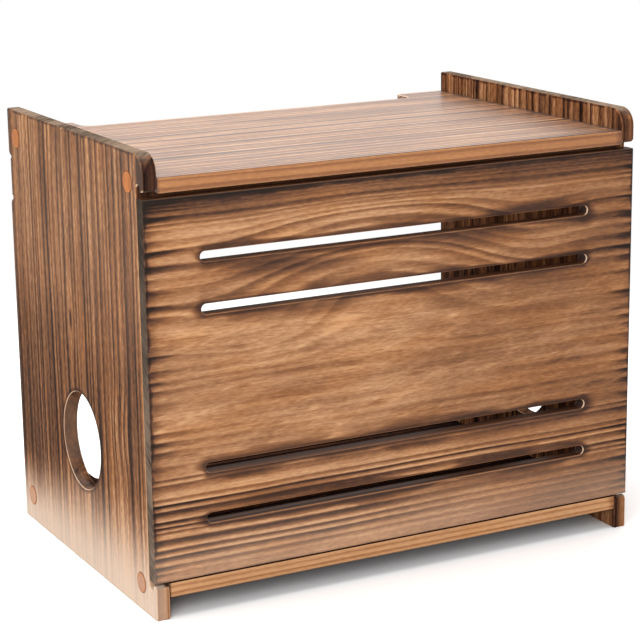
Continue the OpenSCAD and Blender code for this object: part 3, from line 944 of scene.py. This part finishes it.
def ease_weights(rim_gap, thickness):
    """Geometry nodes that mark a board's outward edges for rounding, except rims that hug a fastener.

    The rims of the cable holes and the short edges through the board's thickness are rounded less.
    """
    name = "Ease Weights " + "XYZ"[thickness.index(1.0)]
    if name in bpy.data.node_groups:
        return bpy.data.node_groups[name]
    tree = bpy.data.node_groups.new(name, "GeometryNodeTree")
    for side in ("INPUT", "OUTPUT"):
        tree.interface.new_socket("Board", in_out=side, socket_type="NodeSocketGeometry")
    bench = NodeBench(tree)

    def marked(geometry, label, value, kind):
        feeds = {"Geometry": geometry, "Name": label, "Value": value}
        return bench.add("GeometryNodeStoreNamedAttribute", feeds, data_type=kind, domain="EDGE").outputs[0]

    board = bench.add("NodeGroupInput").outputs[0]
    turned = bench.add("GeometryNodeInputMeshEdgeAngle").outputs
    fasteners = bench.add("GeometryNodeCollectionInfo", {"Collection": fastener_collection()},
                          transform_space="RELATIVE").outputs[0]
    solid = bench.add("GeometryNodeRealizeInstances", {0: fasteners}).outputs[0]
    nearest = bench.add("GeometryNodeProximity", {0: solid}, target_element="FACES").outputs["Distance"]
    outward = bench.math("GREATER_THAN", turned["Signed Angle"], CREASE)
    clear = bench.math("GREATER_THAN", nearest, rim_gap)
    from_hole = bench.vector("SUBTRACT", bench.add("GeometryNodeInputPosition").outputs[0], HOLE_PLACE)
    from_axis = bench.length(bench.vector("MULTIPLY", from_hole, (0.0, 1.0, 1.0)))
    at_hole = bench.math("LESS_THAN", from_axis, HOLE_RADIUS / MM + rim_gap)
    ends = bench.add("GeometryNodeInputMeshEdgeVertices").outputs
    run = bench.vector("NORMALIZE", bench.vector("SUBTRACT", ends["Position 2"], ends["Position 1"]))
    corner = bench.math("GREATER_THAN", bench.size(bench.dot(run, thickness)), THROUGH_COSINE)
    weight = bench.product(outward, clear, bench.math("MULTIPLY_ADD", at_hole, HOLE_RIM - 1.0, 1.0),
                           bench.math("MULTIPLY_ADD", corner, CORNER_RIM - 1.0, 1.0))
    creased = bench.math("GREATER_THAN", turned["Unsigned Angle"], CREASE)
    crisp = bench.minus(creased, bench.math("GREATER_THAN", weight, 0.0))
    weighed = marked(board, "bevel_weight_edge", weight, "FLOAT")
    sharpened = marked(weighed, "sharp_edge", crisp, "BOOLEAN")
    feeds = {"Geometry": sharpened, "Name": "custom_normal"}
    plain = bench.add("GeometryNodeRemoveAttribute", feeds).outputs[0]
    smooth = bench.add("GeometryNodeSetShadeSmooth", {"Geometry": plain}).outputs[0]
    bench.add("NodeGroupOutput", {0: smooth})
    return tree


# Distance in metres at which corners are one, turn within which faces are one, and steps of a roundover
WELD_REACH, FLAT_TURN, EASE_STEPS = 1e-5, math.radians(0.5), 4
# How far large faces outweigh small ones in the shading, where 50 is not at all
FACE_FAVOUR = 100


def ease_edges(names, width, thickness):
    """Rounds the outward edges of the frame's boards over, with modifiers alone."""
    rim_gap = bpy.context.scene.router_box.edges.rim_gap
    for name in names:
        modifiers = NODES[name].modifiers
        modifiers.new("join faces", "WELD").merge_threshold = WELD_REACH
        flat = modifiers.new("flat faces", "DECIMATE")
        flat.decimate_type = "DISSOLVE"
        flat.angle_limit = FLAT_TURN
        modifiers.new("pick edges", "NODES").node_group = ease_weights(rim_gap, thickness)
        ease = modifiers.new("ease edges", "BEVEL")
        ease.limit_method = "WEIGHT"
        ease.width = width
        ease.segments = EASE_STEPS
        ease.loop_slide = False
        ease.use_clamp_overlap = False
        shading = modifiers.new("even shading", "WEIGHTED_NORMAL")
        shading.weight = FACE_FAVOUR
        shading.keep_sharp = True


class ROUTERBOX_OT_side_boards(bpy.types.Operator):
    """Finish the two upright side boards"""

    bl_idname = "routerbox.side_boards"
    bl_label = "Side Boards"

    def execute(self, context):
        ease_edges(SIDE_BOARDS, context.scene.router_box.edges.side_ease, THROUGH_SIDE)
        for seed, name in enumerate(SIDE_BOARDS):
            finish_board(name, GRAIN_UPRIGHT, side_figure, spacing=7.5, slant=0.7, wander=7.0,
                         seed=2.0 + 7.0 * seed, low_reach=(0.0, 3.0, 0.0), high_reach=(2.0, 2.5, 0.0),
                         gloss=0.0)
        return {"FINISHED"}


class ROUTERBOX_OT_shelf_boards(bpy.types.Operator):
    """Finish the top board, the bottom board and the panel stop"""

    bl_idname = "routerbox.shelf_boards"
    bl_label = "Shelf Boards"

    def execute(self, context):
        looks = {
            # The top board's painted_sheen is a faint painted sheen; the bottom board's dark tone is painted
            # shade for the inside of the box
            TOP_BOARD: (shelf_figure(body=0.71, painted_sheen=0.04, edge_tone=0.71, edge_warm=1.0), 0.4, 0.32),
            BOTTOM_BOARD: (shelf_figure(body=0.30, painted_sheen=0.0, edge_tone=0.80, edge_warm=0.2), 0.0, 0.0),
            STOP: (plain_figure(body=0.40, force=0.2), 0.08, 0.0)}
        ease_edges(looks, context.scene.router_box.edges.board_ease, THROUGH_LEVEL)
        for seed, (name, (figure, gloss, coat)) in enumerate(looks.items()):
            finish_board(name, GRAIN_ALONG_WIDTH, figure, spacing=5.2, slant=1.4, wander=6.0,
                         seed=21.0 + 5.0 * seed, low_reach=(2.0, 0.0, 0.0), high_reach=(6.0, 1.0, 0.0),
                         gloss=gloss, coat=coat)
        return {"FINISHED"}


class ROUTERBOX_OT_front_panel(bpy.types.Operator):
    """Finish the slotted front panel"""

    bl_idname = "routerbox.front_panel"
    bl_label = "Front Panel"

    def execute(self, context):
        ease_edges([PANEL], context.scene.router_box.edges.board_ease, THROUGH_FRONT)
        finish_board(PANEL, GRAIN_ACROSS_FRONT, panel_figure, spacing=8.0, slant=-0.8, wander=6.0, seed=34.0,
                     low_reach=(2.4, 0.8, 0.0), high_reach=(2.0, 3.6, 0.0), gloss=0.04)
        return {"FINISHED"}


class ROUTERBOX_OT_rear_slat(bpy.types.Operator):
    """Finish the thin slat across the back"""

    bl_idname = "routerbox.rear_slat"
    bl_label = "Rear Slat"

    def execute(self, context):
        ease_edges([SLAT], context.scene.router_box.edges.slat_ease, THROUGH_FRONT)
        finish_board(SLAT, GRAIN_ACROSS_FRONT, plain_figure(body=0.44, force=0.25), spacing=5.0, slant=0.5,
                     wander=4.0, seed=47.0, low_reach=(14.0, 4.0, 0.0), high_reach=(14.0, 4.0, 0.0))
        return {"FINISHED"}


class ROUTERBOX_OT_plugs(bpy.types.Operator):
    """Finish the wooden plugs over the screws"""

    bl_idname = "routerbox.plugs"
    bl_label = "Plugs"

    def execute(self, context):
        dress(PLUGS, plug_wood(context.scene.router_box.palette))
        return {"FINISHED"}


class ROUTERBOX_OT_hardware(bpy.types.Operator):
    """Finish the screws, brads, magnets and strike discs"""

    bl_idname = "routerbox.hardware"
    bl_label = "Hardware"

    def execute(self, context):
        palette = context.scene.router_box.palette
        dress(STEEL, plated_metal("screw_steel", palette.steel, (0.6, 3.0, 3.0)))
        dress(STRIKES, plated_metal("strike_steel", palette.steel, (4.0, 1.0, 0.4)))
        dress(MAGNETS, plated_metal("magnet_nickel", palette.nickel, (2.0, 2.0, 2.0)))
        return {"FINISHED"}


# Places and widths of the lamps, and distances over which the floor turns to a white backdrop, in metres
KEY_PLACE, KEY_WIDTH = (-0.25, 0.2, 1.8), 1.8
FILL_PLACE, FILL_WIDTH = (-1.2, -1.5, 0.9), 1.2
BACKDROP = (0.45, 0.9)


def area_lamp(name, place, target, width, power):
    """Large soft lamp aimed at a point."""
    data = bpy.data.lights.new(name, "AREA")
    data.shape = "SQUARE"
    data.size = width
    data.energy = power
    lamp = bpy.data.objects.new(name, data)
    lamp.location = place
    lamp.rotation_euler = (Vector(target) - Vector(place)).to_track_quat("-Z", "Y").to_euler()
    bpy.context.scene.collection.objects.link(lamp)


def seen_rays(bench):
    """Shares of the camera's own rays, and of these together with reflected and passing ones."""
    path = bench.add("ShaderNodeLightPath").outputs
    direct = path["Is Camera Ray"]
    return direct, bench.largest(path["Is Glossy Ray"], path["Is Transmission Ray"], direct)


def floor_paint(stage):
    """Matt pale floor that turns to a white backdrop away from the box."""
    material, bench = new_material("floor_paint")
    direct, seen = seen_rays(bench)
    distance = bench.length(bench.add("ShaderNodeTexCoord").outputs["Object"])
    painted = bench.add("ShaderNodeBsdfDiffuse", {"Color": opaque(stage.floor_tone)}).outputs[0]
    lifted = bench.add("ShaderNodeBsdfDiffuse", {"Color": opaque(WHITE[:3], stage.floor_lift)}).outputs[0]
    white = bench.add("ShaderNodeEmission", {"Color": WHITE, "Strength": 1.0}).outputs[0]
    near = bench.add("ShaderNodeMixShader", {0: direct, 1: painted, 2: lifted}).outputs[0]
    away = bench.product(bench.ease(distance, *BACKDROP), seen)
    finish_material(bench, bench.add("ShaderNodeMixShader", {0: away, 1: near, 2: white}))
    return material


def white_room(stage):
    """World that the camera and reflections see as white, and that lights the box softly from all round."""
    world = bpy.data.worlds.new("studio")
    world.use_nodes = True
    world.node_tree.nodes.clear()
    bench = NodeBench(world.node_tree)
    _, seen = seen_rays(bench)
    strength = bench.math("MULTIPLY_ADD", seen, 1.0 - stage.sky_light, stage.sky_light)
    backdrop = bench.add("ShaderNodeBackground", {"Color": WHITE, "Strength": strength})
    output = bench.add("ShaderNodeOutputWorld")
    bench.feed(output.inputs["Surface"], backdrop.outputs[0])
    return world


class ROUTERBOX_OT_stage(bpy.types.Operator):
    """Set the floor, the lamps and the camera"""

    bl_idname = "routerbox.stage"
    bl_label = "Stage"

    def execute(self, context):
        scene = context.scene
        stage = scene.router_box.stage
        half = stage.floor_span / 2.0
        mesh = bpy.data.meshes.new("floor")
        corners = [(-half, -half, 0.0), (half, -half, 0.0), (half, half, 0.0), (-half, half, 0.0)]
        mesh.from_pydata(corners, [], [(0, 1, 2, 3)])
        floor = bpy.data.objects.new("floor", mesh)
        scene.collection.objects.link(floor)
        floor.data.materials.append(floor_paint(stage))
        centre = (CAD_BOX[0] + CAD_BOX[1]) / 2.0
        area_lamp("key", KEY_PLACE, centre, KEY_WIDTH, stage.key_power)
        area_lamp("fill", FILL_PLACE, centre, FILL_WIDTH, stage.fill_power)
        scene.world = white_room(stage)
        scene.view_settings.view_transform = "Standard"
        data = bpy.data.cameras.new("photo_view")
        data.sensor_width = 36.0
        data.lens = stage.lens
        camera = bpy.data.objects.new("photo_view", data)
        camera.matrix_world = (Matrix.Translation(stage.camera_place)
                               @ Matrix.Rotation(-stage.heading, 4, "Z")
                               @ Matrix.Rotation(math.radians(90.0) - stage.tilt, 4, "X")
                               @ Matrix.Rotation(stage.roll, 4, "Z"))
        scene.collection.objects.link(camera)
        scene.camera = camera
        return {"FINISHED"}


OPERATORS = (
    ROUTERBOX_OT_side_boards, ROUTERBOX_OT_shelf_boards, ROUTERBOX_OT_front_panel, ROUTERBOX_OT_rear_slat,
    ROUTERBOX_OT_plugs, ROUTERBOX_OT_hardware, ROUTERBOX_OT_stage)


class ROUTERBOX_PT_build(bpy.types.Panel):
    """Lists the steps and the settings of the box"""

    bl_label = "Router Box"
    bl_idname = "ROUTERBOX_PT_build"
    bl_space_type = "VIEW_3D"
    bl_region_type = "UI"
    bl_category = "Router Box"

    def draw(self, context):
        settings = context.scene.router_box
        for operator in OPERATORS:
            self.layout.operator(operator.bl_idname)
        for part in (settings.edges, settings.palette, settings.stage):
            box = self.layout.box()
            for name in part.__annotations__:
                box.prop(part, name)


CLASSES = (ROUTERBOX_EdgeSettings, ROUTERBOX_PaletteSettings, ROUTERBOX_StageSettings, ROUTERBOX_Settings,
           *OPERATORS, ROUTERBOX_PT_build)


def register():
    """Adds the classes to Blender and the settings to the scene."""
    for cls in CLASSES:
        bpy.utils.register_class(cls)
    bpy.types.Scene.router_box = bpy.props.PointerProperty(type=ROUTERBOX_Settings)


def unregister():
    """Takes the settings and the classes away again."""
    del bpy.types.Scene.router_box
    for cls in reversed(CLASSES):
        bpy.utils.unregister_class(cls)


def main():
    """Builds the dressed box and its stage."""
    register()
    bpy.ops.routerbox.side_boards()
    bpy.ops.routerbox.shelf_boards()
    bpy.ops.routerbox.front_panel()
    bpy.ops.routerbox.rear_slat()
    bpy.ops.routerbox.plugs()
    bpy.ops.routerbox.hardware()
    bpy.ops.routerbox.stage()


if __name__ == "__main__":
    main()
